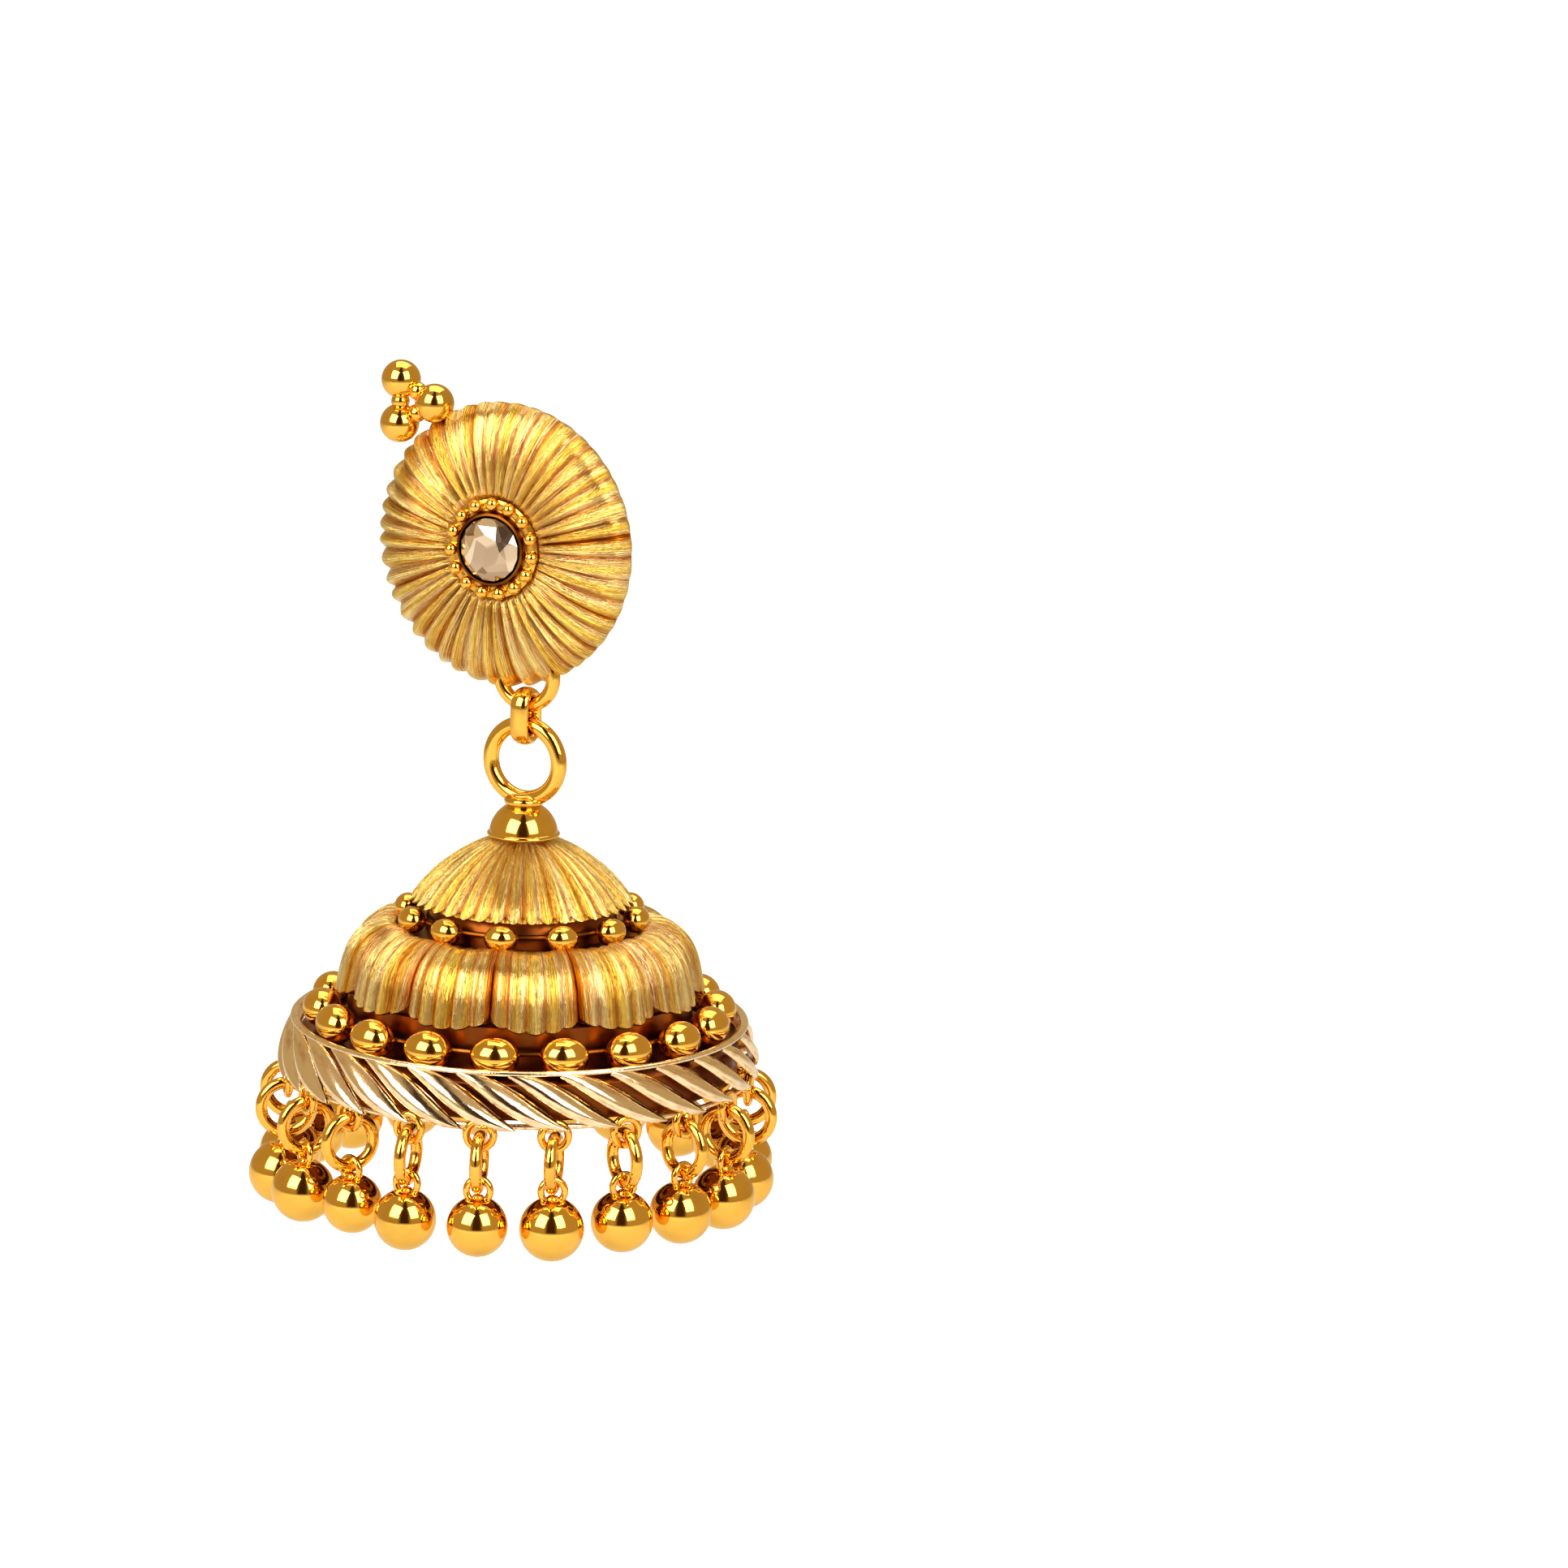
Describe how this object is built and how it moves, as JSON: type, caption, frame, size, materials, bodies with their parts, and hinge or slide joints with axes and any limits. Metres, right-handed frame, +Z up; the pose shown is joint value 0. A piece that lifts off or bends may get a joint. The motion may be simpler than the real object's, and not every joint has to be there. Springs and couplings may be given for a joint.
{
  "type": "bell drop earring",
  "caption": "Pierced-ear earring with a fluted round stud, a set stone and a two-tier beaded bell that swings below it, edged with a pierced leaf band and a fringe of ball drops.",
  "frame": {"origin": "centre of the stud's flat back, where the ear post is seated and the earlobe holds it", "axes": "+Z up, +Y from the stud's back along the post into the ear, so the stud faces -Y, +X to the wearer's side seen from behind the stud"},
  "size_m": [0.0294, 0.0294, 0.0465],
  "materials": {
    "fluted_gold": "satin gold plate with engraved flutes",
    "polished_gold": "mirror-polished gold plate",
    "leaf_gold": "bright-cut pale gold plate",
    "stone": "faceted champagne stone"
  },
  "bodies": {
    "stud": {"stud_rosette": "fluted_gold", "stone_setting": "polished_gold", "center_stone": "stone", "ear_post": "polished_gold"},
    "link": {"connector_link": "polished_gold"},
    "drop": {"bell_finial": "polished_gold", "upper_tier": "fluted_gold", "upper_bead_ring": "polished_gold", "lower_tier": "fluted_gold", "lower_bead_ring": "polished_gold", "leaf_band": "leaf_gold", "jump_ring_01": "polished_gold", "ball_drop_01": "polished_gold", "jump_ring_02": "polished_gold", "ball_drop_02": "polished_gold", "jump_ring_03": "polished_gold", "ball_drop_03": "polished_gold", "jump_ring_04": "polished_gold", "ball_drop_04": "polished_gold", "jump_ring_05": "polished_gold", "ball_drop_05": "polished_gold", "jump_ring_06": "polished_gold", "ball_drop_06": "polished_gold", "jump_ring_07": "polished_gold", "ball_drop_07": "polished_gold", "jump_ring_08": "polished_gold", "ball_drop_08": "polished_gold", "jump_ring_09": "polished_gold", "ball_drop_09": "polished_gold", "jump_ring_10": "polished_gold", "ball_drop_10": "polished_gold", "jump_ring_11": "polished_gold", "ball_drop_11": "polished_gold", "jump_ring_12": "polished_gold", "ball_drop_12": "polished_gold", "jump_ring_13": "polished_gold", "ball_drop_13": "polished_gold", "jump_ring_14": "polished_gold", "ball_drop_14": "polished_gold", "jump_ring_15": "polished_gold", "ball_drop_15": "polished_gold", "jump_ring_16": "polished_gold", "ball_drop_16": "polished_gold", "jump_ring_17": "polished_gold", "ball_drop_17": "polished_gold", "jump_ring_18": "polished_gold", "ball_drop_18": "polished_gold", "jump_ring_19": "polished_gold", "ball_drop_19": "polished_gold", "jump_ring_20": "polished_gold", "ball_drop_20": "polished_gold"}
  },
  "joints": [
    {"name": "link_swing", "type": "hinge", "parent": "stud", "child": "link", "pos_m": [0.0015, -0.0006, -0.00885], "axis": [1, 0, 0], "range_deg": [-45, 45]},
    {"name": "drop_swing", "type": "hinge", "parent": "link", "child": "drop", "pos_m": [0.0015, -0.0006, -0.01081], "axis": [0, 1, 0], "range_deg": [-35, 35]}
  ]
}
